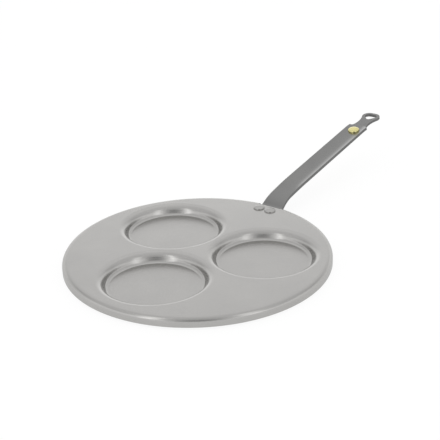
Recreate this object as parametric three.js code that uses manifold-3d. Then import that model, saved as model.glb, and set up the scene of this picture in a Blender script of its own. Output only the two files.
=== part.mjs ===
// Pancake pan: a pressed steel plate with three round cups, a riveted strip handle and a brass button.
// Millimetres and degrees, +Z up, handle along +X. The pan stands on its cup bottoms at z = 0,
// with the origin at the middle of its length.
import * as THREE from "three";
import { mergeVertices } from "three/addons/utils/BufferGeometryUtils.js";
import Module from "manifold-3d";

const wasm = await Module();
wasm.setup();

// Plate
const sheet = 2.5; // thickness of the pressed steel
const cupCount = 3;
const cupMouthRadius = 57.4; // where the flat top starts to turn down into a cup
const cupDepth = 9.8;
const cupWallAngle = 71; // steepest slope of a cup's wall
const cupMouthBend = 5.9; // inside of the bend at the mouth, which is on the underside
const cupFootBend = 4; // inside of the bend at the cup's floor, which is on the top side
const cupWeb = 0.7; // flat strip left between two neighbouring mouths
const plateBorder = 5.7; // flat ring left between a mouth and the rim's bend
const rimHeight = 9.8;
const rimBend = 2.7; // inside of the rim's bend

// Handle
const stripWidth = 23.3;
const stripThickness = 3;
const stripDish = 2; // how far the grip's edges stand above its middle
const handleReach = 227.8; // from the rim to the tip, seen from above
const riseInset = 3.5; // from the rim back to where the strip starts to rise
const riseAngle = 34; // slope of the short rise beside the rim
const handleSlope = 9.2; // slope of the grip
const lowerBend = 8; // top-face radius of the bend beside the rim
const riseLength = 1.6; // straight part between the two bends
const upperBend = 42; // top-face radius of the bend into the grip
const dishRun = 45; // length over which the flat strip becomes dished, from the lower bend on
const dishFade = 10; // length over which the dish runs out again, at the shoulders
const tabReach = 32; // from the rim to the tab's inner end
const tabMargin = 0.2; // tab left outside the rivet heads
const tabCorner = 8;
const tabTaper = 32; // length over which the tab narrows to the strip
const taperReach = 20; // from the rim out to the end of that taper
const notchClearance = 0.8; // between the tab and the sides of the notch in the rim

// Hanging eye
const eyeLength = 39.2; // from the strip's shoulders to the tip
const eyeSlope = 7.4; // slope of the eye, a little less than the grip's
const neckBend = 60; // top-face radius of the bend from the grip's slope to the eye's
const shoulderCorner = 1.2; // at most the step from the strip down to the neck
const neckWidth = 14.5;
const neckRadius = 37.6;
const eyeCorner = 8.2; // outer radius of the eye's two corners
const eyeSpread = 5.6; // between the centres of those corners
const eyeBand = 3.7; // metal left round the hole
const holeLength = 13.4;
const holeTip = 2.8; // radius of the hole's narrow end

// Fasteners
const rivetHeadRadius = 6;
const rivetHeadHeight = 2.4;
const rivetHeadSide = 1; // upright edge below the dome
const rivetShankRadius = 3;
const rivetTailRadius = 5;
const rivetTailHeight = 1.5;
const rivetGap = 2.2; // between the two heads
const rivetInset = 15.5; // from the rim to the rivets
const buttonRadius = 6.75;
const buttonHeight = 2.6;
const buttonSide = 0.9; // upright edge below the dome
const buttonShankRadius = 2.5;
const buttonTailRadius = 4.2;
const buttonTailHeight = 1.2;
const buttonSetback = 11.7; // from the strip's shoulders back to the button
const shankClearance = 0.3;
const seatClearance = 0.3; // left above and below the strip by the button

// Roundness of the faceted surfaces
const plateSegments = 96;
const cupSegments = 48;
const pinSegments = 24;
const bendSteps = 4;
const domeSteps = 4;
const acrossSteps = 8;

// Working distances of the cuts and joins
const overshoot = 1; // how far a cutting solid runs past what it cuts
const mergeDistance = 1e-4; // vertices closer than this are one

// Sizes that follow from those above
const radians = THREE.MathUtils.degToRad;
const cupMouthTop = cupMouthBend + sheet;
const cupFootUnder = cupFootBend + sheet;
const rimBendTop = rimBend + sheet;
const cupPitchRadius = (cupMouthRadius + cupWeb / 2) / Math.sin(Math.PI / cupCount);
const flatRadius = cupPitchRadius + cupMouthRadius + plateBorder;
const plateRadius = flatRadius + rimBendTop;
const standHeight = cupDepth + sheet;
const wallTurn = radians(cupWallAngle);
const bendsDrop = (cupMouthTop + cupFootBend) * (1 - Math.cos(wallTurn));
const wallLength = (cupDepth - bendsDrop) / Math.sin(wallTurn);
const cupFloorRadius =
  cupMouthRadius - (cupMouthTop + cupFootBend) * Math.sin(wallTurn) - wallLength * Math.cos(wallTurn);
const stripHalf = stripWidth / 2;
const rivetPitch = 2 * rivetHeadRadius + rivetGap;
const rivetX = plateRadius - rivetInset;
const tabHalf = rivetPitch / 2 + rivetHeadRadius + tabMargin;
const tabStart = plateRadius - tabReach;
const taperEnd = plateRadius + taperReach;
const notchHalf = tabHalf + notchClearance;
const notchX = Math.sqrt(flatRadius ** 2 - notchHalf ** 2);
const riseX = plateRadius - riseInset;
const dishStart = riseX + lowerBend * Math.sin(radians(riseAngle));
const dishEnd = dishStart + dishRun;
const tipX = plateRadius + handleReach;
const shoulderX = tipX - eyeLength;
const fadeStart = shoulderX - dishFade / 2;
const fadeEnd = shoulderX + dishFade / 2;
const buttonX = shoulderX - buttonSetback;
const eyeCornerX = tipX - eyeCorner;
const holeEndX = tipX - eyeBand;

function material(color, roughness) {
  return new THREE.MeshStandardMaterial({ color, roughness, metalness: 1 });
}

const plateSteel = material(0xb7b6b3, 0.4);
const handleSteel = material(0x8a8987, 0.45);
const brass = material(0xd8c67a, 0.25);

// A closed geometry as a solid for joining and cutting
function solid(geometry) {
  const bare = new THREE.BufferGeometry();
  bare.setAttribute("position", geometry.getAttribute("position"));
  bare.setIndex(geometry.getIndex());
  const merged = mergeVertices(bare, mergeDistance);
  const corners = merged.getIndex().array;
  const triangles = [];
  for (let i = 0; i < corners.length; i += 3) {
    const [a, b, c] = corners.slice(i, i + 3);
    if (a !== b && b !== c && c !== a) {
      triangles.push(a, b, c);
    }
  }
  const vertProperties = merged.getAttribute("position").array;
  return new wasm.Manifold(
    new wasm.Mesh({ numProp: 3, vertProperties, triVerts: new Uint32Array(triangles) }),
  );
}

function geometryOf(body) {
  const mesh = body.getMesh();
  const geometry = new THREE.BufferGeometry();
  geometry.setAttribute("position", new THREE.BufferAttribute(mesh.vertProperties, 3));
  geometry.setIndex(new THREE.BufferAttribute(mesh.triVerts, 1));
  geometry.computeVertexNormals();
  return geometry;
}

// Points on an arc about (x, z), at angles from the vertical, positive towards larger x
function arc(x, z, radius, from, to, steps = bendSteps) {
  return Array.from({ length: steps + 1 }, (_, i) => {
    const angle = from + ((to - from) * i) / steps;
    return new THREE.Vector2(x + radius * Math.sin(angle), z + radius * Math.cos(angle));
  });
}

// A profile of radius and height, listed from its lowest point on the axis, turned about Z
function turned(profile, segments) {
  return new THREE.LatheGeometry(profile, segments).rotateX(Math.PI / 2);
}

function upright(shape, low, high, steps = 1) {
  const geometry = new THREE.ExtrudeGeometry(shape, {
    depth: high - low,
    steps,
    bevelEnabled: false,
  });
  return geometry.translate(0, 0, low);
}

function pin(radius, low, high) {
  const profile = [
    new THREE.Vector2(0, low),
    new THREE.Vector2(radius, low),
    new THREE.Vector2(radius, high),
    new THREE.Vector2(0, high),
  ];
  return turned(profile, pinSegments);
}

// A half outline on one side of the handle's middle line, closed by its mirror image
function mirrored(half) {
  const side = half.getPoints(bendSteps);
  const other = side.map((p) => new THREE.Vector2(p.x, -p.y)).reverse();
  return new THREE.Shape([...side, ...other.slice(1, -1)]);
}

// Side of a cup from its floor up to its mouth: the top side of the sheet, or its underside
function cupSide(footRadius, mouthRadius) {
  const foot = arc(cupFloorRadius, cupFootBend - cupDepth, footRadius, Math.PI, Math.PI - wallTurn);
  const mouth = arc(cupMouthRadius, -cupMouthTop, mouthRadius, -wallTurn, 0);
  return [...foot, ...mouth];
}

function platePressing() {
  const disc = [
    new THREE.Vector2(0, -sheet),
    ...arc(flatRadius, -rimBendTop, rimBend, 0, Math.PI / 2),
    new THREE.Vector2(plateRadius - sheet, -rimHeight),
    new THREE.Vector2(plateRadius, -rimHeight),
    ...arc(flatRadius, -rimBendTop, rimBendTop, Math.PI / 2, 0),
    new THREE.Vector2(0, 0),
  ];
  const boss = [
    new THREE.Vector2(0, -standHeight),
    ...cupSide(cupFootUnder, cupMouthBend),
    new THREE.Vector2(cupMouthRadius, -sheet / 2),
    new THREE.Vector2(0, -sheet / 2),
  ];
  const hollow = [
    new THREE.Vector2(0, -cupDepth),
    ...cupSide(cupFootBend, cupMouthTop),
    new THREE.Vector2(cupMouthRadius, overshoot),
    new THREE.Vector2(0, overshoot),
  ];
  let body = solid(turned(disc, plateSegments));
  for (let i = 0; i < cupCount; i++) {
    const angle = Math.PI * ((2 * i + 1) / cupCount);
    const x = cupPitchRadius * Math.cos(angle);
    const y = cupPitchRadius * Math.sin(angle);
    body = body.add(solid(turned(boss, cupSegments).translate(x, y, 0)));
    body = body.subtract(solid(turned(hollow, cupSegments).translate(x, y, 0)));
  }
  const notchLength = plateRadius + overshoot - notchX;
  const notch = new THREE.BoxGeometry(notchLength, 2 * notchHalf, 2 * (rimHeight + overshoot));
  body = body.subtract(solid(notch.translate(notchX + notchLength / 2, 0, 0)));
  for (const side of [1, -1]) {
    const hole = pin(rivetShankRadius + shankClearance, -sheet - overshoot, overshoot);
    body = body.subtract(solid(hole.translate(rivetX, (side * rivetPitch) / 2, 0)));
  }
  return geometryOf(body);
}

// The strip's top face seen from the side: tab, rise, grip and eye, each point with its slope
function stripLine() {
  const line = [{ x: tabStart - overshoot, z: -sheet, slope: 0 }];
  const run = (length) => {
    const { x, z, slope } = line.at(-1);
    line.push({ x: x + length * Math.cos(slope), z: z + length * Math.sin(slope), slope });
  };
  const bend = (radius, to) => {
    const { x, z, slope } = line.at(-1);
    const turn = Math.sign(to - slope) * radius;
    for (let i = 1; i <= bendSteps; i++) {
      const next = slope + ((to - slope) * i) / bendSteps;
      line.push({
        x: x + turn * (Math.sin(next) - Math.sin(slope)),
        z: z - turn * (Math.cos(next) - Math.cos(slope)),
        slope: next,
      });
    }
  };
  const runTo = (x) => run((x - line.at(-1).x) / Math.cos(line.at(-1).slope));
  runTo(riseX);
  bend(lowerBend, radians(riseAngle));
  run(riseLength);
  bend(upperBend, radians(handleSlope));
  runTo((line.at(-1).x + dishEnd) / 2);
  runTo(dishEnd);
  runTo(fadeStart);
  runTo(shoulderX);
  const end = line.at(-1);
  bend(neckBend, radians(eyeSlope));
  runTo(fadeEnd);
  runTo(tipX + overshoot);
  return { line, end };
}

const { line: topLine, end: gripEnd } = stripLine();

// Height of the strip's middle line on the grip's straight stretch
function gripHeight(x) {
  return gripEnd.z + (x - gripEnd.x) * Math.tan(gripEnd.slope);
}

// The strip is flat at the tab and the eye, and dished along the grip
function dishAt(x, y) {
  const start = THREE.MathUtils.smoothstep(x, dishStart, dishEnd);
  const end = THREE.MathUtils.smoothstep(x, fadeStart, fadeEnd);
  return stripDish * start * (1 - end) * (y / stripHalf) ** 2;
}

// Half of the handle's outline seen from above
function handleHalf() {
  const half = new THREE.Path();
  half.moveTo(tabStart, 0);
  half.lineTo(tabStart, tabHalf - tabCorner);
  half.absarc(tabStart + tabCorner, tabHalf - tabCorner, tabCorner, Math.PI, Math.PI / 2, true);
  const taperStart = taperEnd - tabTaper;
  const taperMiddle = taperEnd - tabTaper / 2;
  half.lineTo(taperStart, tabHalf);
  half.bezierCurveTo(taperMiddle, tabHalf, taperMiddle, stripHalf, taperEnd, stripHalf);
  const neckY = neckWidth / 2 + neckRadius;
  const eyeY = eyeSpread / 2;
  const neckX = eyeCornerX - Math.sqrt((neckRadius + eyeCorner) ** 2 - (neckY - eyeY) ** 2);
  const neckStart = Math.PI + Math.acos((neckX - shoulderX) / neckRadius);
  const shoulderStep = stripHalf - neckY - neckRadius * Math.sin(neckStart);
  const corner = Math.min(shoulderCorner, shoulderStep);
  half.lineTo(shoulderX - corner, stripHalf);
  half.absarc(shoulderX - corner, stripHalf - corner, corner, Math.PI / 2, 0, true);
  const meet = Math.atan2(eyeY - neckY, eyeCornerX - neckX);
  half.absarc(neckX, neckY, neckRadius, neckStart, meet + 2 * Math.PI, false);
  half.absarc(eyeCornerX, eyeY, eyeCorner, meet + Math.PI, 0, true);
  half.lineTo(tipX, 0);
  return half;
}

// Half of the eye's hole: a narrow round end, a straight side and a wide round end
function holeHalf() {
  const wide = eyeCorner - eyeBand;
  const tip = new THREE.Vector2(holeEndX - holeLength + holeTip, 0);
  const corner = new THREE.Vector2(eyeCornerX, eyeSpread / 2);
  const along = corner.clone().sub(tip);
  const tangent = along.angle() + Math.acos((holeTip - wide) / along.length());
  const half = new THREE.Path();
  half.moveTo(tip.x - holeTip, 0);
  half.absarc(tip.x, tip.y, holeTip, Math.PI, tangent, true);
  half.absarc(corner.x, corner.y, wide, tangent, 0, true);
  half.lineTo(holeEndX, 0);
  return half;
}

function handleStrip() {
  const under = topLine.map(({ x, z, slope }) => {
    return new THREE.Vector2(x + stripThickness * Math.sin(slope), z - stripThickness * Math.cos(slope));
  });
  const side = new THREE.Shape([...topLine.map(({ x, z }) => new THREE.Vector2(x, z)), ...under.reverse()]);
  const band = upright(side, -tabHalf, tabHalf, acrossSteps).rotateX(Math.PI / 2);
  const points = band.getAttribute("position");
  for (let i = 0; i < points.count; i++) {
    points.setZ(i, points.getZ(i) + dishAt(points.getX(i), points.getY(i)));
  }
  const low = -standHeight;
  const high = topLine.at(-1).z + stripDish * (tabHalf / stripHalf) ** 2 + overshoot;
  let body = solid(band).intersect(solid(upright(mirrored(handleHalf()), low, high)));
  body = body.subtract(solid(upright(mirrored(holeHalf()), low, high)));
  const bore = rivetShankRadius + shankClearance;
  for (const end of [1, -1]) {
    const hole = pin(bore, -sheet - stripThickness - overshoot, overshoot);
    body = body.subtract(solid(hole.translate(rivetX, (end * rivetPitch) / 2, 0)));
  }
  const reach = stripThickness + buttonHeight;
  const buttonHole = pin(buttonShankRadius + shankClearance, -reach, reach);
  buttonHole.rotateY(-gripEnd.slope).translate(buttonX, 0, gripHeight(buttonX));
  return geometryOf(body.subtract(solid(buttonHole)));
}

// A headed pin: domed head above z = 0, shank through the given thickness, flat tail below
function headedPin(head, shankRadius, grip, tail) {
  const dome = head.height - head.side;
  const ball = (head.radius ** 2 + dome ** 2) / (2 * dome);
  const profile = [
    new THREE.Vector2(0, -grip - tail.height),
    new THREE.Vector2(tail.radius, -grip - tail.height),
    new THREE.Vector2(tail.radius, -grip),
    new THREE.Vector2(shankRadius, -grip),
    new THREE.Vector2(shankRadius, 0),
    new THREE.Vector2(head.radius, 0),
    ...arc(0, head.height - ball, ball, Math.asin(head.radius / ball), 0, domeSteps),
  ];
  return turned(profile, pinSegments);
}

function rivet() {
  return headedPin(
    { radius: rivetHeadRadius, height: rivetHeadHeight, side: rivetHeadSide },
    rivetShankRadius,
    sheet + stripThickness,
    { radius: rivetTailRadius, height: rivetTailHeight },
  );
}

// The button's flat seat bridges the strip's dish
const buttonSeat = stripDish * (buttonRadius / stripHalf) ** 2 + seatClearance;

function button() {
  return headedPin(
    { radius: buttonRadius, height: buttonHeight, side: buttonSide },
    buttonShankRadius,
    buttonSeat + stripThickness + seatClearance,
    { radius: buttonTailRadius, height: buttonTailHeight },
  );
}

function piece(name, geometry, finish) {
  const mesh = new THREE.Mesh(geometry, finish);
  mesh.name = name;
  return mesh;
}

// The pan is modelled about the middle of the plate's top face
const pan = new THREE.Group();
pan.add(piece("pan_plate", platePressing(), plateSteel));
pan.add(piece("handle_strip", handleStrip(), handleSteel));

const rivetGeometry = rivet();
for (const [name, side] of [["left_rivet", 1], ["right_rivet", -1]]) {
  const mesh = piece(name, rivetGeometry, plateSteel);
  mesh.position.set(rivetX, (side * rivetPitch) / 2, 0);
  pan.add(mesh);
}

const buttonPlace = new THREE.Group();
buttonPlace.position.set(buttonX, 0, gripHeight(buttonX));
buttonPlace.rotation.y = -gripEnd.slope;
const brassButton = piece("brass_button", button(), brass);
brassButton.position.z = buttonSeat;
buttonPlace.add(brassButton);
pan.add(buttonPlace);

pan.position.set((plateRadius - tipX) / 2, 0, standHeight);

const group = new THREE.Group();
group.add(pan);

export default group;
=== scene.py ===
"""A pancake pan on a pale studio floor.

A pressed steel plate, a strip handle, two rivets and a brass button, in metres, with +Z up and the
handle along +X. The pan stands on its cup bottoms at z = 0.
"""

import math

import bmesh
import bpy
from mathutils import Euler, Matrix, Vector


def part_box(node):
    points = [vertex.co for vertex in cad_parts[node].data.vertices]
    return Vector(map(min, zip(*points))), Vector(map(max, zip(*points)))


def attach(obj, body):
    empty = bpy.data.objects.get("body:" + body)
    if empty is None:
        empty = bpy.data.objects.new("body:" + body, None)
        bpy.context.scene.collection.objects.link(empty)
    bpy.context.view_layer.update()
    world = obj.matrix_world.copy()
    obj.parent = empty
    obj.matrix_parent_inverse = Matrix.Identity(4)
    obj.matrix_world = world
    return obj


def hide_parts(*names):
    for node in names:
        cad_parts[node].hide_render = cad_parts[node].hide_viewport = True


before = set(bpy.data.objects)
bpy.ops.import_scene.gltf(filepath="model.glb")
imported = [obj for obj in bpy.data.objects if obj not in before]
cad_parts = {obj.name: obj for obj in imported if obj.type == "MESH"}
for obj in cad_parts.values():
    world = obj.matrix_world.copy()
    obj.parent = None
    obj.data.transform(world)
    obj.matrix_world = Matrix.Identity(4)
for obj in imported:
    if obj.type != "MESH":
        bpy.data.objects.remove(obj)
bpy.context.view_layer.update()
plate_low, plate_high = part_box("pan_plate")
strip_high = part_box("handle_strip")[1]

MM = 0.001

# Plate
SHEET = 2.5 * MM
CUP_COUNT = 3
CUP_MOUTH_RADIUS = 57.4 * MM
CUP_DEPTH = 9.8 * MM
CUP_WALL_TURN = math.radians(71)
CUP_MOUTH_BEND = 8.4 * MM
CUP_FOOT_BEND = 4 * MM
CUP_WEB = 0.7 * MM
RIM_BEND = 5.2 * MM
RIM_HEIGHT = 9.8 * MM
NOTCH_CLEARANCE = 0.8 * MM
NOTCH_SURROUND = 6 * MM  # faces this near the notch are cut along its sides
FLAT_LEAD = 0.2 * MM  # narrow flat ring beside each bend
EDGE_ROUND = 0.4 * MM  # of a tail's foot, and the most that a cut edge is broken

# Handle
STRIP_WIDTH = 23.3 * MM
STRIP_THICKNESS = 3 * MM
STRIP_DISH = 2 * MM
RISE_INSET = 3.5 * MM
RISE_ANGLE = math.radians(34)
HANDLE_SLOPE = math.radians(9.2)
LOWER_BEND = 8 * MM
RISE_LENGTH = 1.6 * MM
UPPER_BEND = 42 * MM
DISH_RUN = 45 * MM
DISH_FADE = 10 * MM
TAB_REACH = 32 * MM
TAB_MARGIN = 0.2 * MM
TAB_CORNER = 8 * MM
TAB_TAPER = 32 * MM
TAPER_REACH = 20 * MM
EYE_LENGTH = 39.2 * MM
EYE_SLOPE = math.radians(7.4)
NECK_BEND = 60 * MM
SHOULDER_CORNER = 1.2 * MM
SHOULDER_STEP = MM / 50  # from the shoulder's end to the neck's start
NECK_WIDTH = 14.5 * MM
NECK_RADIUS = 37.6 * MM
EYE_CORNER = 8.2 * MM
EYE_SPREAD = 5.6 * MM
EYE_BAND = 3.7 * MM
HOLE_LENGTH = 13.4 * MM
HOLE_TIP = 2.8 * MM

# Fasteners
RIVET_HEAD_RADIUS = 6 * MM
RIVET_HEAD_HEIGHT = 2.4 * MM
RIVET_HEAD_SIDE = 1 * MM
RIVET_HEAD_ROUND = 0.9 * MM
RIVET_SHANK_RADIUS = 3 * MM
RIVET_TAIL_RADIUS = 5 * MM
RIVET_TAIL_HEIGHT = 1.5 * MM
RIVET_GAP = 2.2 * MM
BUTTON_RADIUS = 6.75 * MM
BUTTON_HEIGHT = 3.1 * MM
BUTTON_SIDE = 1 * MM
BUTTON_ROUND = 1.3 * MM
BUTTON_SHANK_RADIUS = 2.5 * MM
BUTTON_TAIL_RADIUS = 4.2 * MM
BUTTON_TAIL_HEIGHT = 1.2 * MM
BUTTON_SETBACK = 11.7 * MM
SHANK_CLEARANCE = 0.3 * MM
SEAT_CLEARANCE = 0.3 * MM  # under the strip, above the button's tail
BUTTON_SEAT_CLEARANCE = 0.05 * MM  # under the button's skirt

# Fineness of the round surfaces and edges
PLATE_STEPS = 256
CUP_STEPS = 144
PIN_STEPS = 48
BEND_STEPS = 10
ACROSS_STEPS = 16
GRIP_STEPS = 24
BROKEN_EDGE_STEPS = 3
TAIL_EDGE_STEPS = 4
HEAD_EDGE_STEPS = 6
DOME_STEPS = 14
DOME_TIP_SHARE = 1 / 40  # part of the dome's turn that its tip closes
SHARP_FOLD = math.radians(40)  # edges of the sheet and strip above this are broken
SHARP_TURN = math.radians(50)  # edges of a turned pin above this stay sharp
TOUCH = MM / 100  # distances below this count as none

# Places that follow from the frame and the sizes above
TOP = plate_high.z
PLATE_RADIUS = (plate_high.y - plate_low.y) / 2
CENTRE_X = plate_low.x + PLATE_RADIUS
FLAT_RADIUS = PLATE_RADIUS - RIM_BEND
CUP_PITCH_RADIUS = (CUP_MOUTH_RADIUS + CUP_WEB / 2) / math.sin(math.pi / CUP_COUNT)
STRIP_HALF = STRIP_WIDTH / 2
RIVET_PITCH = 2 * RIVET_HEAD_RADIUS + RIVET_GAP
TAB_HALF = RIVET_PITCH / 2 + RIVET_HEAD_RADIUS + TAB_MARGIN
TAB_START = CENTRE_X + PLATE_RADIUS - TAB_REACH
TAPER_END = CENTRE_X + PLATE_RADIUS + TAPER_REACH
NOTCH_HALF = TAB_HALF + NOTCH_CLEARANCE
NOTCH_X = CENTRE_X + math.sqrt(FLAT_RADIUS**2 - NOTCH_HALF**2)
RISE_X = CENTRE_X + PLATE_RADIUS - RISE_INSET
# The strip's underside reaches a little further than its top
TIP_X = strip_high.x - STRIP_THICKNESS * math.sin(EYE_SLOPE)
SHOULDER_X = strip_high.x - EYE_LENGTH
BUTTON_X = SHOULDER_X - BUTTON_SETBACK
EYE_CORNER_X = TIP_X - EYE_CORNER
CUTTER_DEPTH = 8 * STRIP_THICKNESS  # long enough to pass through the strip


def arc(x, z, radius, start, end, steps=BEND_STEPS):
    """Points on an arc about (x, z), at angles from the vertical, positive towards larger x."""
    angles = [start + (end - start) * i / steps for i in range(steps + 1)]
    return [(x + radius * math.sin(a), z + radius * math.cos(a)) for a in angles]


def smooth(value, low, high):
    """Smooth step from 0 at low to 1 at high."""
    t = min(max((value - low) / (high - low), 0), 1)
    return t * t * (3 - 2 * t)


def edit(piece):
    """Puts one piece, and nothing else, in edit mode."""
    bpy.ops.object.select_all(action="DESELECT")
    piece.select_set(True)
    bpy.context.view_layer.objects.active = piece
    bpy.ops.object.mode_set(mode="EDIT")


def leave_edit():
    """Goes back to object mode."""
    bpy.ops.object.mode_set(mode="OBJECT")


def pick(piece, kind, wanted):
    """Selects the vertices, edges or faces of the edited piece that are wanted."""
    bpy.ops.mesh.select_mode(type=kind)
    bpy.ops.mesh.select_all(action="DESELECT")
    mesh = bmesh.from_edit_mesh(piece.data)
    for part in {"VERT": mesh.verts, "EDGE": mesh.edges, "FACE": mesh.faces}[kind]:
        if wanted(part):
            part.select_set(True)
    mesh.select_flush_mode()
    bmesh.update_edit_mesh(piece.data)


def apply_modifier(piece, kind, **settings):
    """Gives the piece a modifier and applies it."""
    bpy.ops.object.select_all(action="DESELECT")
    piece.select_set(True)
    bpy.context.view_layer.objects.active = piece
    modifier = piece.modifiers.new(kind, kind)
    for name, value in settings.items():
        setattr(modifier, name, value)
    bpy.ops.object.modifier_apply(modifier=modifier.name)


def join(pieces):
    """Joins the pieces into the first of them."""
    bpy.ops.object.select_all(action="DESELECT")
    for piece in pieces:
        piece.select_set(True)
    bpy.context.view_layer.objects.active = pieces[0]
    bpy.ops.object.join()
    return pieces[0]


def settle(piece):
    """Puts the piece's place into its mesh."""
    bpy.ops.object.select_all(action="DESELECT")
    piece.select_set(True)
    bpy.context.view_layer.objects.active = piece
    bpy.ops.object.transform_apply(location=True, rotation=True, scale=True)


def new_circle(name, radius, steps, filled=True):
    """A circle at the origin, as a disc or as a bare ring."""
    fill = "NGON" if filled else "NOTHING"
    bpy.ops.object.select_all(action="DESELECT")
    bpy.ops.mesh.primitive_circle_add(vertices=steps, radius=radius, fill_type=fill)
    piece = bpy.context.object
    piece.name = name
    return piece


def raise_rings(piece, profile):
    """Extrudes the circle's edge through a profile of radius and height that starts on it."""
    pick(piece, "EDGE", lambda edge: len(edge.link_faces) < 2)
    radius, height = profile[0]
    for next_radius, next_height in profile[1:]:
        lift = (0, 0, next_height - height)
        bpy.ops.mesh.extrude_edges_move(TRANSFORM_OT_translate={"value": lift})
        scale = next_radius / radius
        bpy.ops.transform.resize(value=(scale, scale, 1), center_override=(0, 0, 0))
        radius, height = next_radius, next_height


def soften(piece, width):
    """Breaks the sharp edges as far as the tightest corner allows, and keeps flat faces flat."""
    apply_modifier(
        piece,
        "BEVEL",
        width=width,
        segments=BROKEN_EDGE_STEPS,
        limit_method="ANGLE",
        angle_limit=SHARP_FOLD,
    )
    bpy.ops.object.shade_smooth()
    apply_modifier(piece, "WEIGHTED_NORMAL", mode="FACE_AREA", keep_sharp=True)


def press_cup():
    """Top side of one cup, with its floor at z = 0 and a narrow flat ring round its mouth."""
    bends = CUP_MOUTH_BEND + CUP_FOOT_BEND
    wall = (CUP_DEPTH - bends * (1 - math.cos(CUP_WALL_TURN))) / math.sin(CUP_WALL_TURN)
    inset = bends * math.sin(CUP_WALL_TURN) + wall * math.cos(CUP_WALL_TURN)
    floor_radius = CUP_MOUTH_RADIUS - inset
    profile = [
        (floor_radius - FLAT_LEAD, 0),
        *arc(floor_radius, CUP_FOOT_BEND, CUP_FOOT_BEND, math.pi, math.pi - CUP_WALL_TURN),
        *arc(CUP_MOUTH_RADIUS, CUP_DEPTH - CUP_MOUTH_BEND, CUP_MOUTH_BEND, -CUP_WALL_TURN, 0),
        (CUP_MOUTH_RADIUS + FLAT_LEAD, CUP_DEPTH),
    ]
    cup = new_circle("cup", profile[0][0], CUP_STEPS)
    edit(cup)
    raise_rings(cup, profile)
    leave_edit()
    return cup


def press_plate():
    """The plate: rim, three cups and flat web as one sheet, with a notch for the handle."""
    rim = new_circle("pressed_plate", FLAT_RADIUS - FLAT_LEAD, PLATE_STEPS, filled=False)
    edit(rim)
    profile = [
        (FLAT_RADIUS - FLAT_LEAD, 0),
        *arc(FLAT_RADIUS, -RIM_BEND, RIM_BEND, 0, math.pi / 2),
        (PLATE_RADIUS, -RIM_HEIGHT),
    ]
    raise_rings(rim, profile)
    leave_edit()
    rim.location = (CENTRE_X, 0, TOP)
    sheets = [rim]
    first_cup = press_cup()
    for i in range(CUP_COUNT):
        cup = first_cup
        if i:
            cup = first_cup.copy()
            cup.data = first_cup.data.copy()
            bpy.context.collection.objects.link(cup)
        angle = math.pi * (2 * i + 1) / CUP_COUNT
        x = CENTRE_X + CUP_PITCH_RADIUS * math.cos(angle)
        cup.location = (x, CUP_PITCH_RADIUS * math.sin(angle), TOP - CUP_DEPTH)
        sheets.append(cup)
    for x, y in rivet_places():
        radius = RIVET_SHANK_RADIUS + SHANK_CLEARANCE
        hole = new_circle("rivet_hole", radius, PIN_STEPS, filled=False)
        hole.location = (x, y, TOP)
        sheets.append(hole)
    plate = join(sheets)
    settle(plate)
    edit(plate)
    at_top = TOP - TOUCH
    pick(
        plate,
        "EDGE",
        lambda edge: len(edge.link_faces) < 2 and min(v.co.z for v in edge.verts) > at_top,
    )
    bpy.ops.mesh.fill(use_beauty=True)
    bpy.ops.mesh.select_all(action="SELECT")
    bpy.ops.mesh.remove_doubles(threshold=TOUCH)
    bpy.ops.mesh.normals_make_consistent(inside=False)
    faces = bmesh.from_edit_mesh(plate.data).faces
    top_face = max(faces, key=lambda face: face.calc_center_median().z)
    if top_face.normal.z < 0:
        bpy.ops.mesh.flip_normals()
    for point, normal in (
        ((0, NOTCH_HALF, 0), (0, 1, 0)),
        ((0, -NOTCH_HALF, 0), (0, 1, 0)),
        ((NOTCH_X, 0, 0), (1, 0, 0)),
    ):
        pick(
            plate,
            "FACE",
            lambda face: max(v.co.x for v in face.verts) > NOTCH_X
            and min(abs(v.co.y) for v in face.verts) < NOTCH_HALF + NOTCH_SURROUND,
        )
        bpy.ops.mesh.bisect(plane_co=point, plane_no=normal)
    pick(
        plate,
        "FACE",
        lambda face: face.calc_center_median().x > NOTCH_X
        and abs(face.calc_center_median().y) < NOTCH_HALF,
    )
    bpy.ops.mesh.delete(type="FACE")
    leave_edit()
    apply_modifier(plate, "SOLIDIFY", thickness=SHEET, offset=-1, use_even_offset=True)
    soften(plate, EDGE_ROUND)
    return plate


def rivet_places():
    """The rivets' places on the plate, as the solids have them, left one first."""
    boxes = [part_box("left_rivet"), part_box("right_rivet")]
    return [((low.x + high.x) / 2, (low.y + high.y) / 2) for low, high in boxes]


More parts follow.
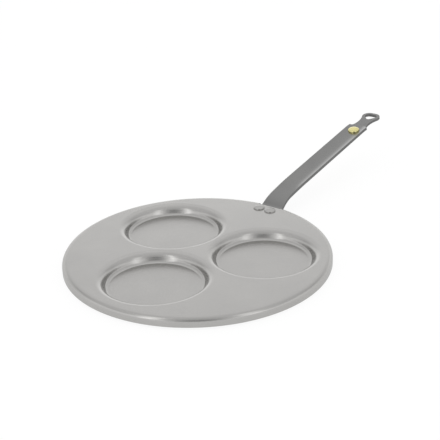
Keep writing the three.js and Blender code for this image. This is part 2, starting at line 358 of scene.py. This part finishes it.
def strip_line():
    """Places along the handle, and heights of its top middle line there, from tab to tip."""
    line = [(TAB_START, TOP - SHEET)]
    x, z = RISE_X, TOP - SHEET
    tab_steps = 2 * BEND_STEPS
    corner_end = TAB_START + TAB_CORNER
    for i in range(1, BEND_STEPS + 1):
        line.append((corner_end - TAB_CORNER * math.cos(math.pi / 2 * i / BEND_STEPS), z))
    for i in range(1, tab_steps + 1):
        line.append((corner_end + (x - corner_end) * i / tab_steps, z))
    line += arc(x, z + LOWER_BEND, LOWER_BEND, math.pi, math.pi - RISE_ANGLE)[1:]
    x, z = line[-1]
    x += RISE_LENGTH * math.cos(RISE_ANGLE)
    z += RISE_LENGTH * math.sin(RISE_ANGLE)
    bend_x = x + UPPER_BEND * math.sin(RISE_ANGLE)
    bend_z = z - UPPER_BEND * math.cos(RISE_ANGLE)
    line += arc(bend_x, bend_z, UPPER_BEND, -RISE_ANGLE, -HANDLE_SLOPE)
    x, z = line[-1]
    corner_x = SHOULDER_X - SHOULDER_CORNER
    places = [x + (corner_x - x) * i / GRIP_STEPS for i in range(1, GRIP_STEPS + 1)]
    corner = [math.sin(math.pi / 2 * i / BEND_STEPS) for i in range(1, BEND_STEPS + 1)]
    places += [corner_x + SHOULDER_CORNER * share for share in corner]
    places.append(SHOULDER_X + SHOULDER_STEP)
    neck_start = places[-1]
    neck_run = EYE_CORNER_X - neck_start
    places += [neck_start + neck_run * i / GRIP_STEPS for i in range(1, GRIP_STEPS + 1)]
    places += [EYE_CORNER_X + EYE_CORNER * share for share in corner]
    rise = math.tan(HANDLE_SLOPE)
    return line + [(place, z + (place - x) * rise - eye_drop(place)) for place in places]


def eye_drop(x):
    """How far the eye lies below the straight line of the grip."""
    run = NECK_BEND * (math.sin(HANDLE_SLOPE) - math.sin(EYE_SLOPE))
    past = max(x - SHOULDER_X, 0)
    bent = min(past, run)
    return (math.tan(HANDLE_SLOPE) - math.tan(EYE_SLOPE)) * (bent**2 / (2 * run) + past - bent)


def neck_centre():
    """Centre of the round that hollows the neck on the left side."""
    y = NECK_WIDTH / 2 + NECK_RADIUS
    reach = NECK_RADIUS + EYE_CORNER
    return EYE_CORNER_X - math.sqrt(reach**2 - (y - EYE_SPREAD / 2) ** 2), y


def half_width(x):
    """Half of the handle's width at a place along it, seen from above."""
    if x < TAB_START + TAB_CORNER:
        before = TAB_START + TAB_CORNER - x
        return TAB_HALF - TAB_CORNER + math.sqrt(TAB_CORNER**2 - before**2)
    corner_x = SHOULDER_X - SHOULDER_CORNER
    if x <= corner_x:
        narrowed = smooth(x, TAPER_END - TAB_TAPER, TAPER_END)
        return TAB_HALF + (STRIP_HALF - TAB_HALF) * narrowed
    if x <= SHOULDER_X:
        fall = max(SHOULDER_CORNER**2 - (x - corner_x) ** 2, 0)
        return STRIP_HALF - SHOULDER_CORNER + math.sqrt(fall)
    neck_x, neck_y = neck_centre()
    meet_x = neck_x + (EYE_CORNER_X - neck_x) * NECK_RADIUS / (NECK_RADIUS + EYE_CORNER)
    if x < meet_x:
        return neck_y - math.sqrt(NECK_RADIUS**2 - (x - neck_x) ** 2)
    return EYE_SPREAD / 2 + math.sqrt(max(EYE_CORNER**2 - (x - EYE_CORNER_X) ** 2, 0))


def dish(x):
    """How far the strip's edges stand above its middle at full width."""
    start = RISE_X + LOWER_BEND * math.sin(RISE_ANGLE)
    fade = smooth(x, SHOULDER_X - DISH_FADE / 2, SHOULDER_X + DISH_FADE / 2)
    return STRIP_DISH * smooth(x, start, start + DISH_RUN) * (1 - fade)


def strip_height(x):
    """Height of the strip's middle line at a place along the handle."""
    line = strip_line()
    for (low_x, low_z), (high_x, high_z) in zip(line, line[1:]):
        if low_x <= x <= high_x:
            return low_z + (high_z - low_z) * (x - low_x) / (high_x - low_x)


def new_cylinder(radius, place, tilt=0):
    """A round cutter through a place on the strip, tilted as the strip rises."""
    bpy.ops.object.select_all(action="DESELECT")
    bpy.ops.mesh.primitive_cylinder_add(
        vertices=PIN_STEPS,
        radius=radius,
        depth=CUTTER_DEPTH,
        location=place,
        rotation=(0, -tilt, 0),
    )
    return bpy.context.object


def eye_cutter():
    """Solid of the eye's hole: a narrow round end and two wide corners, wrapped as one."""
    wide = EYE_CORNER - EYE_BAND
    tip_x = TIP_X - EYE_BAND - HOLE_LENGTH + HOLE_TIP
    height = strip_height(EYE_CORNER_X)
    ends = [
        new_cylinder(HOLE_TIP, (tip_x, 0, height)),
        new_cylinder(wide, (EYE_CORNER_X, EYE_SPREAD / 2, height)),
        new_cylinder(wide, (EYE_CORNER_X, -EYE_SPREAD / 2, height)),
    ]
    cutter = join(ends)
    edit(cutter)
    bpy.ops.mesh.select_all(action="SELECT")
    bpy.ops.mesh.convex_hull()
    leave_edit()
    return cutter


def bend_strip():
    """The handle: a flat strip, dished along its grip, bent at the rim, and pierced."""
    line = strip_line()
    columns = len(line)
    bpy.ops.object.select_all(action="DESELECT")
    # The grid reaches from -1 to 1 both ways, and each column is then put at its size and place
    bpy.ops.mesh.primitive_grid_add(
        x_subdivisions=columns - 1, y_subdivisions=ACROSS_STEPS, size=2
    )
    strip = bpy.context.object
    strip.name = "strip_handle"
    edit(strip)
    for row in range(ACROSS_STEPS + 1):
        pick(strip, "VERT", lambda v: v.index // columns == row)
        bpy.ops.transform.translate(value=(0, 0, (2 * row / ACROSS_STEPS - 1) ** 2))
    for column, (x, z) in enumerate(line):
        half = half_width(x)
        grid_x = 2 * column / (columns - 1) - 1
        pick(strip, "VERT", lambda v: v.index % columns == column)
        edge_rise = dish(x) * (half / STRIP_HALF) ** 2
        bpy.ops.transform.resize(value=(1, half, edge_rise), center_override=(0, 0, 0))
        bpy.ops.transform.translate(value=(x - grid_x, 0, z))
    leave_edit()
    apply_modifier(strip, "SOLIDIFY", thickness=STRIP_THICKNESS, offset=-1, use_even_offset=True)
    holes = [eye_cutter()]
    for x, y in rivet_places():
        holes.append(new_cylinder(RIVET_SHANK_RADIUS + SHANK_CLEARANCE, (x, y, TOP - SHEET)))
    place = (BUTTON_X, 0, strip_height(BUTTON_X))
    holes.append(new_cylinder(BUTTON_SHANK_RADIUS + SHANK_CLEARANCE, place, HANDLE_SLOPE))
    cutter = join(holes)
    apply_modifier(strip, "BOOLEAN", object=cutter, operation="DIFFERENCE", solver="EXACT")
    bpy.data.objects.remove(cutter)
    soften(strip, EDGE_ROUND)
    return strip


def turn_pin(name, profile):
    """A turned pin from a profile of radius and height that starts on its lowest face."""
    pin = new_circle(name, profile[0][0], PIN_STEPS)
    pin.location.z = profile[0][1]
    settle(pin)
    edit(pin)
    raise_rings(pin, profile)
    bpy.ops.mesh.merge(type="CENTER")
    bpy.ops.mesh.select_all(action="SELECT")
    bpy.ops.mesh.normals_make_consistent(inside=False)
    leave_edit()
    bpy.ops.object.shade_smooth()
    bpy.ops.object.shade_smooth_by_angle(angle=SHARP_TURN)
    return pin


def domed_head(radius, height, side, edge):
    """Profile of a head from its underside to near its top: upright side, round edge, low dome."""
    dome = height - side
    ball = (radius**2 + dome**2) / (2 * dome)
    turn = math.asin((radius - edge) / (ball - edge))
    edge_z = height - ball + (ball - edge) * math.cos(turn)
    return [
        (radius, 0),
        *arc(radius - edge, edge_z, edge, math.pi / 2, turn, HEAD_EDGE_STEPS),
        *arc(0, height - ball, ball, turn, turn * DOME_TIP_SHARE, DOME_STEPS)[1:],
    ]


def round_tail(radius, foot):
    """Profile of a tail from its lowest face to its side: a flat foot with a broken edge."""
    inner = radius - EDGE_ROUND
    edge = arc(inner, EDGE_ROUND - foot, EDGE_ROUND, math.pi, math.pi / 2, TAIL_EDGE_STEPS)
    return [(inner, -foot), *edge[1:]]


def turn_rivets():
    """Two rivets through plate and tab, with a tail below and a low domed head on top."""
    grip = SHEET + STRIP_THICKNESS
    foot = grip + RIVET_TAIL_HEIGHT
    profile = [
        *round_tail(RIVET_TAIL_RADIUS, foot),
        (RIVET_TAIL_RADIUS, -grip),
        (RIVET_SHANK_RADIUS, -grip),
        (RIVET_SHANK_RADIUS, 0),
        *domed_head(RIVET_HEAD_RADIUS, RIVET_HEAD_HEIGHT, RIVET_HEAD_SIDE, RIVET_HEAD_ROUND),
    ]
    first = turn_pin("rivet_left", profile)
    second = first.copy()
    second.data = first.data.copy()
    second.name = "rivet_right"
    bpy.context.collection.objects.link(second)
    for rivet, (x, y) in zip((first, second), rivet_places()):
        rivet.location = (x, y, TOP)
        settle(rivet)
    return first, second


def turn_button():
    """The button, with a low dome and a skirt that follows the dished strip."""
    seat = STRIP_DISH * (BUTTON_RADIUS / STRIP_HALF) ** 2 + BUTTON_SEAT_CLEARANCE
    grip = seat + STRIP_THICKNESS + SEAT_CLEARANCE
    foot = grip + BUTTON_TAIL_HEIGHT
    profile = [
        *round_tail(BUTTON_TAIL_RADIUS, foot),
        (BUTTON_TAIL_RADIUS, -grip),
        (BUTTON_SHANK_RADIUS, -grip),
        (BUTTON_SHANK_RADIUS, 0),
        *domed_head(BUTTON_RADIUS, BUTTON_HEIGHT, BUTTON_SIDE, BUTTON_ROUND),
    ]
    button = turn_pin("button_brass", profile)
    edit(button)
    for i in range(PIN_STEPS // 2 + 1):
        y = BUTTON_RADIUS * math.cos(2 * math.pi * i / PIN_STEPS)
        pick(
            button,
            "VERT",
            lambda v: abs(v.co.z) < TOUCH
            and abs(v.co.y - y) < TOUCH
            and v.co.xy.length > BUTTON_TAIL_RADIUS,
        )
        drop = STRIP_DISH * (BUTTON_RADIUS**2 - y**2) / STRIP_HALF**2
        bpy.ops.transform.translate(value=(0, 0, -drop))
    leave_edit()
    up = Vector((-math.sin(HANDLE_SLOPE), 0, math.cos(HANDLE_SLOPE)))
    button.rotation_euler = (0, -HANDLE_SLOPE, 0)
    button.location = Vector((BUTTON_X, 0, strip_height(BUTTON_X))) + seat * up
    settle(button)
    return button


# Finishes: two colours, the roughness from and to, and the steel's brightness at a glancing view
PLATE_STEEL = ((0.491, 0.485, 0.474), (0.516, 0.509, 0.496), 0.22, 0.28, 0.9)
HANDLE_STEEL = ((0.238, 0.238, 0.236), (0.262, 0.261, 0.257), 0.14, 0.19, 1)
CUT_STEEL = ((0.18, 0.18, 0.178), (0.21, 0.209, 0.206), 0.34, 0.42, 0.8)
RIVET_STEEL = ((0.465, 0.46, 0.45), (0.49, 0.484, 0.473), 0.2, 0.26, 0.78)
BRASS = ((0.8, 0.73, 0.33), (0.86, 0.79, 0.4), 0.12, 0.16)

# Clouds and grain in the finishes: their fineness, and the part of a noise's range that is used
STEEL_CLOUD = 25
STEEL_GRAIN = 1800
BRASS_CLOUD = 400
NOISE_DETAIL = 3
NOISE_LOW = 0.3
NOISE_HIGH = 0.7
GRAIN_STRENGTH = 0.05
GRAIN_DEPTH = 0.02 * MM
CUT_EDGE_LEAN = 0.5  # a face whose normal rises less than this is a cut edge


def new_finish(name):
    """A metal finish with its nodes, its shader and its place on the piece."""
    finish = bpy.data.materials.new(name)
    finish.use_nodes = True
    nodes = finish.node_tree.nodes
    shader = nodes["Principled BSDF"]
    shader.inputs["Metallic"].default_value = 1
    place = nodes.new("ShaderNodeTexCoord").outputs["Object"]
    return finish, nodes, finish.node_tree.links, shader, place


def grain(nodes, links, place, scale):
    """Noise of a given fineness over the piece."""
    noise = nodes.new("ShaderNodeTexNoise")
    noise.inputs["Scale"].default_value = scale
    noise.inputs["Detail"].default_value = NOISE_DETAIL
    links.new(place, noise.inputs["Vector"])
    return noise.outputs["Fac"]


def tint(nodes, links, factor, low, high):
    """Colours from low to high over the middle of a noise."""
    ramp = nodes.new("ShaderNodeValToRGB")
    ramp.color_ramp.elements[0].position = NOISE_LOW
    ramp.color_ramp.elements[1].position = NOISE_HIGH
    ramp.color_ramp.elements[0].color = (*low, 1)
    ramp.color_ramp.elements[1].color = (*high, 1)
    links.new(factor, ramp.inputs["Fac"])
    return ramp.outputs["Color"]


def spread(nodes, links, factor, low, high):
    """A number from low to high over the middle of a noise."""
    span = nodes.new("ShaderNodeMapRange")
    span.inputs["From Min"].default_value = NOISE_LOW
    span.inputs["From Max"].default_value = NOISE_HIGH
    span.inputs["To Min"].default_value = low
    span.inputs["To Max"].default_value = high
    links.new(factor, span.inputs["Value"])
    return span.outputs["Result"]


def roughen(nodes, links, shader, height):
    """A fine unevenness that follows the grain."""
    bump = nodes.new("ShaderNodeBump")
    bump.inputs["Strength"].default_value = GRAIN_STRENGTH
    bump.inputs["Distance"].default_value = GRAIN_DEPTH
    links.new(height, bump.inputs["Height"])
    links.new(bump.outputs["Normal"], shader.inputs["Normal"])


def satin_steel(name, low, high, rough_low, rough_high, glance):
    """Smooth steel with a slow cloud in its colour and a fine grain."""
    finish, nodes, links, shader, place = new_finish(name)
    cloud = grain(nodes, links, place, STEEL_CLOUD)
    fine = grain(nodes, links, place, STEEL_GRAIN)
    links.new(tint(nodes, links, cloud, low, high), shader.inputs["Base Color"])
    links.new(spread(nodes, links, fine, rough_low, rough_high), shader.inputs["Roughness"])
    roughen(nodes, links, shader, fine)
    shader.inputs["Specular Tint"].default_value = (glance, glance, glance, 1)
    return finish


def polished_brass(name, low, high, rough_low, rough_high):
    """Pale polished brass with a slow cloud in its colour and polish."""
    finish, nodes, links, shader, place = new_finish(name)
    cloud = grain(nodes, links, place, BRASS_CLOUD)
    links.new(tint(nodes, links, cloud, low, high), shader.inputs["Base Color"])
    links.new(spread(nodes, links, cloud, rough_low, rough_high), shader.inputs["Roughness"])
    return finish


def dress_cut_edges(piece, finish):
    """Gives the upright faces of a piece a finish of their own."""
    piece.data.materials.append(finish)
    edit(piece)
    pick(piece, "FACE", lambda face: abs(face.normal.z) < CUT_EDGE_LEAN)
    piece.active_material_index = 1
    bpy.ops.object.material_slot_assign()
    leave_edit()


def dress(piece, finish, slot, *nodes):
    """Gives a piece its finish and its body, and hides the solids that it stands for; the slot is
    not used.
    """
    piece.data.materials.clear()
    piece.data.materials.append(finish)
    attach(piece, "root")
    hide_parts(*nodes)


# Camera, as offsets from the middle of the plate's top along and across the line of sight
CAMERA_HEADING = math.radians(37.17)  # from the handle's direction, seen from above
CAMERA_PITCH = math.radians(24.653)
CAMERA_ROLL = -0.031  # radians
CAMERA_BACK = 918.8 * MM
CAMERA_RIGHT = 23.55 * MM
CAMERA_UP = 454.2 * MM
CAMERA_LENS = 83.69  # millimetres, as the sensor
CAMERA_SENSOR = 36

AHEAD = Vector((math.cos(CAMERA_HEADING), math.sin(CAMERA_HEADING), 0))
RIGHT = Vector((math.sin(CAMERA_HEADING), -math.cos(CAMERA_HEADING), 0))
UP = Vector((0, 0, 1))
PLATE_MIDDLE = Vector((CENTRE_X, 0, TOP))


def place_camera():
    """The camera in front of the plate, looking along the heading and down."""
    camera = bpy.data.objects.new("camera", bpy.data.cameras.new("camera"))
    bpy.context.collection.objects.link(camera)
    camera.location = PLATE_MIDDLE - CAMERA_BACK * AHEAD + CAMERA_RIGHT * RIGHT + CAMERA_UP * UP
    upright = Euler((math.pi / 2 - CAMERA_PITCH, 0, CAMERA_HEADING - math.pi / 2)).to_matrix()
    roll = Euler((0, 0, CAMERA_ROLL)).to_matrix()
    camera.rotation_euler = (upright @ roll).to_euler()
    camera.data.sensor_width = CAMERA_SENSOR
    camera.data.lens = CAMERA_LENS
    bpy.context.scene.camera = camera


# Brightness of the room at the sines of some heights above the horizon
ROOM_LEVELS = ((0.26, 1.0), (0.44, 0.7), (0.85, 0.76), (1.0, 0.78))
# Patches of the room: angle to the right of straight ahead, height above the horizon, cosines of
# the distance at which each starts and is full, and the brightness that it adds
PATCHES = (
    (math.pi, math.radians(8), 0.88, 1, -0.6),
    (math.pi, math.radians(44), 0.86, 1, -0.12),
    (0, math.radians(50), 0.72, 0.98, 0.15),
    (0, math.radians(6), 0.92, 1, 0.25),
    (math.radians(-66), math.radians(14), 0.9, 0.99, -0.15),
    (math.radians(66), math.radians(14), 0.9, 0.99, -0.15),
)


def light_room():
    """A pale room, brightest near the horizon and ahead, and dark where the camera stands."""
    world = bpy.data.worlds.new("room")
    world.use_nodes = True
    bpy.context.scene.world = world
    nodes, links = world.node_tree.nodes, world.node_tree.links
    direction = nodes.new("ShaderNodeTexCoord").outputs["Generated"]
    height = nodes.new("ShaderNodeSeparateXYZ")
    links.new(direction, height.inputs[0])
    bands = nodes.new("ShaderNodeValToRGB")
    bands.color_ramp.interpolation = "EASE"
    stops = bands.color_ramp.elements
    while len(stops) < len(ROOM_LEVELS):
        stops.new(1)
    for stop, (sine, shade) in zip(stops, ROOM_LEVELS):
        stop.position = sine
        stop.color = (shade, shade, shade, 1)
    links.new(height.outputs["Z"], bands.inputs["Fac"])
    level = bands.outputs["Color"]
    for turn, lift, start, full, shade in PATCHES:
        towards = nodes.new("ShaderNodeVectorMath")
        towards.operation = "DOT_PRODUCT"
        level_way = math.cos(turn) * AHEAD + math.sin(turn) * RIGHT
        towards.inputs[1].default_value = math.sin(lift) * UP + math.cos(lift) * level_way
        links.new(direction, towards.inputs[0])
        patch = nodes.new("ShaderNodeMapRange")
        patch.interpolation_type = "SMOOTHSTEP"
        patch.inputs["From Min"].default_value = start
        patch.inputs["From Max"].default_value = full
        patch.inputs["To Max"].default_value = shade
        links.new(towards.outputs["Value"], patch.inputs["Value"])
        total = nodes.new("ShaderNodeMath")
        links.new(level, total.inputs[0])
        links.new(patch.outputs["Result"], total.inputs[1])
        level = total.outputs[0]
    links.new(level, nodes["Background"].inputs["Strength"])
    nodes["Background"].inputs["Color"].default_value = (1, 1, 1, 1)


# Softboxes stand round the middle of the plate, beside the camera
SOFTBOX_DISTANCE = 1.6
SOFTBOX_LIFT = math.radians(28)
SOFTBOX_HEIGHT = 1.3
# Angle to the right of the camera, width and power of each
SOFTBOXES = ((math.radians(-39), 0.3, 1.2), (math.radians(42), 0.4, 0.92))


def hang_softboxes():
    """Two tall narrow lamps that look at the plate from either side of the camera."""
    for turn, width, power in SOFTBOXES:
        lamp = bpy.data.objects.new("softbox", bpy.data.lights.new("softbox", "AREA"))
        bpy.context.collection.objects.link(lamp)
        level = -math.cos(turn) * AHEAD + math.sin(turn) * RIGHT
        away = math.cos(SOFTBOX_LIFT) * level + math.sin(SOFTBOX_LIFT) * UP
        lamp.location = PLATE_MIDDLE + SOFTBOX_DISTANCE * away
        lamp.rotation_euler = away.to_track_quat("Z", "Y").to_euler()
        lamp.data.shape = "RECTANGLE"
        lamp.data.size = width
        lamp.data.size_y = SOFTBOX_HEIGHT
        lamp.data.energy = power


FLOOR_SIZE = 40
FLOOR_GAP = 0.1 * MM  # keeps the floor off the cup bottoms, so that they show from below
FLOOR_PAINT = 0.8
FLOOR_GLOW = 1.07
CAMERA_SHARE = 0.85  # part of the floor's glow that the camera sees
METAL_SHARE = 0.55  # part of it that metal mirrors


def lay_floor():
    """A pale floor, white to the camera, that keeps the pan's shadow and is clear from below."""
    bpy.ops.object.select_all(action="DESELECT")
    bpy.ops.mesh.primitive_plane_add(size=FLOOR_SIZE, location=(0, 0, -FLOOR_GAP))
    floor = bpy.context.object
    floor.name = "floor"
    paint = bpy.data.materials.new("floor_paint")
    paint.use_nodes = True
    floor.data.materials.append(paint)
    nodes, links = paint.node_tree.nodes, paint.node_tree.links
    nodes.clear()
    matt = nodes.new("ShaderNodeBsdfDiffuse")
    matt.inputs["Color"].default_value = (FLOOR_PAINT, FLOOR_PAINT, FLOOR_PAINT, 1)
    glow = nodes.new("ShaderNodeEmission")
    glow.inputs["Strength"].default_value = FLOOR_GLOW
    seen = nodes.new("ShaderNodeLightPath")
    mirrored = nodes.new("ShaderNodeMath")
    links.new(seen.outputs["Is Glossy Ray"], mirrored.inputs[0])
    links.new(seen.outputs["Is Transmission Ray"], mirrored.inputs[1])
    dimmed = nodes.new("ShaderNodeMath")
    dimmed.operation = "MULTIPLY"
    dimmed.inputs[1].default_value = METAL_SHARE
    links.new(mirrored.outputs[0], dimmed.inputs[0])
    share = nodes.new("ShaderNodeMath")
    share.operation = "MULTIPLY_ADD"
    share.inputs[1].default_value = CAMERA_SHARE
    links.new(seen.outputs["Is Camera Ray"], share.inputs[0])
    links.new(dimmed.outputs[0], share.inputs[2])
    top = nodes.new("ShaderNodeMixShader")
    links.new(share.outputs[0], top.inputs["Fac"])
    links.new(matt.outputs[0], top.inputs[1])
    links.new(glow.outputs[0], top.inputs[2])
    below = nodes.new("ShaderNodeBsdfTransparent")
    both = nodes.new("ShaderNodeMixShader")
    links.new(nodes.new("ShaderNodeNewGeometry").outputs["Backfacing"], both.inputs["Fac"])
    links.new(top.outputs[0], both.inputs[1])
    links.new(below.outputs[0], both.inputs[2])
    links.new(both.outputs[0], nodes.new("ShaderNodeOutputMaterial").inputs["Surface"])


place_camera()
light_room()
hang_softboxes()
lay_floor()

plate_steel = satin_steel("plate_steel", *PLATE_STEEL)
handle_steel = satin_steel("handle_steel", *HANDLE_STEEL)
cut_steel = satin_steel("cut_steel", *CUT_STEEL)
rivet_steel = satin_steel("rivet_steel", *RIVET_STEEL)
brass = polished_brass("button_brass", *BRASS)

dress(press_plate(), plate_steel, "plate_steel", "pan_plate")
handle = bend_strip()
dress(handle, handle_steel, "handle_steel", "handle_strip")
dress_cut_edges(handle, cut_steel)
left, right = turn_rivets()
dress(left, rivet_steel, "rivet_steel", "left_rivet")
dress(right, rivet_steel, "rivet_steel", "right_rivet")
dress(turn_button(), brass, "brass", "brass_button")

bpy.context.scene.view_settings.view_transform = "Standard"
